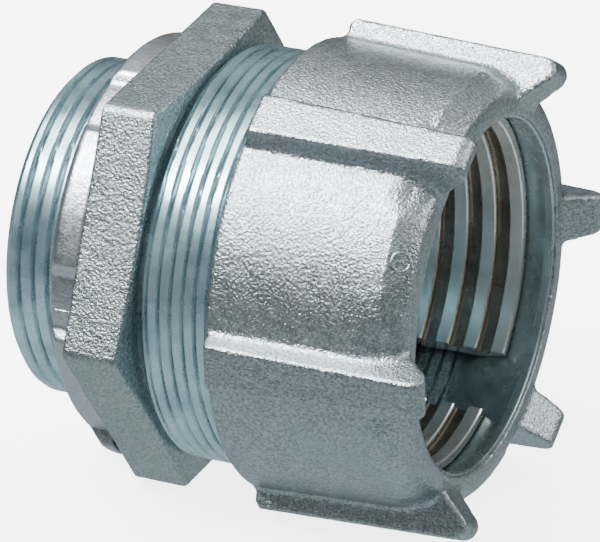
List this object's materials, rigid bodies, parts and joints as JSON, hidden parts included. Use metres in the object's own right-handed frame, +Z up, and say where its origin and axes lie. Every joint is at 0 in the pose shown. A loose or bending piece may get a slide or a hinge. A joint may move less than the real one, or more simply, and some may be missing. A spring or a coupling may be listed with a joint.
{
  "type": "conduit compression fitting",
  "caption": "Compression connector that grips unthreaded rigid conduit under a ribbed gland nut and clamps to a box wall with a threaded hub and locknut.",
  "frame": {"origin": "on the bore's axis, in the plane of the hexagon face that seats against the box wall", "axes": "+X along the bore towards the gland opening where the conduit goes in, +Z up with the fitting lying on its side"},
  "size_m": [0.0659, 0.0688, 0.0634],
  "materials": {
    "body_casting": "bright zinc plate over an as-cast skin, with turned threads",
    "nut_casting": "bright zinc plate over a grainy as-cast skin",
    "locknut_zinc": "bright zinc plate with a faint violet tint",
    "ring_steel": "zinc plated steel, bright on the lands and brown in the grooves"
  },
  "bodies": {
    "fitting": {"fitting_body": "body_casting"},
    "ring": {"gland_ring": "ring_steel"},
    "nut": {"gland_nut": "nut_casting"},
    "locknut": {"locknut": "locknut_zinc"}
  },
  "joints": [
    {"name": "ring_travel", "type": "slide", "parent": "fitting", "child": "ring", "axis": [1, 0, 0], "range_m": [0, 0.00726]},
    {"name": "nut_turn", "type": "hinge", "parent": "ring", "child": "nut", "pos_m": [0, 0, 0], "axis": [1, 0, 0], "range_deg": [0, 1440]},
    {"name": "locknut_travel", "type": "slide", "parent": "fitting", "child": "locknut", "axis": [-1, 0, 0], "range_m": [0, 0.009]}
  ],
  "couplings": [
    {"joint": "ring_travel", "follows": "nut_turn", "m_per_rad": 0.00028875}
  ]
}
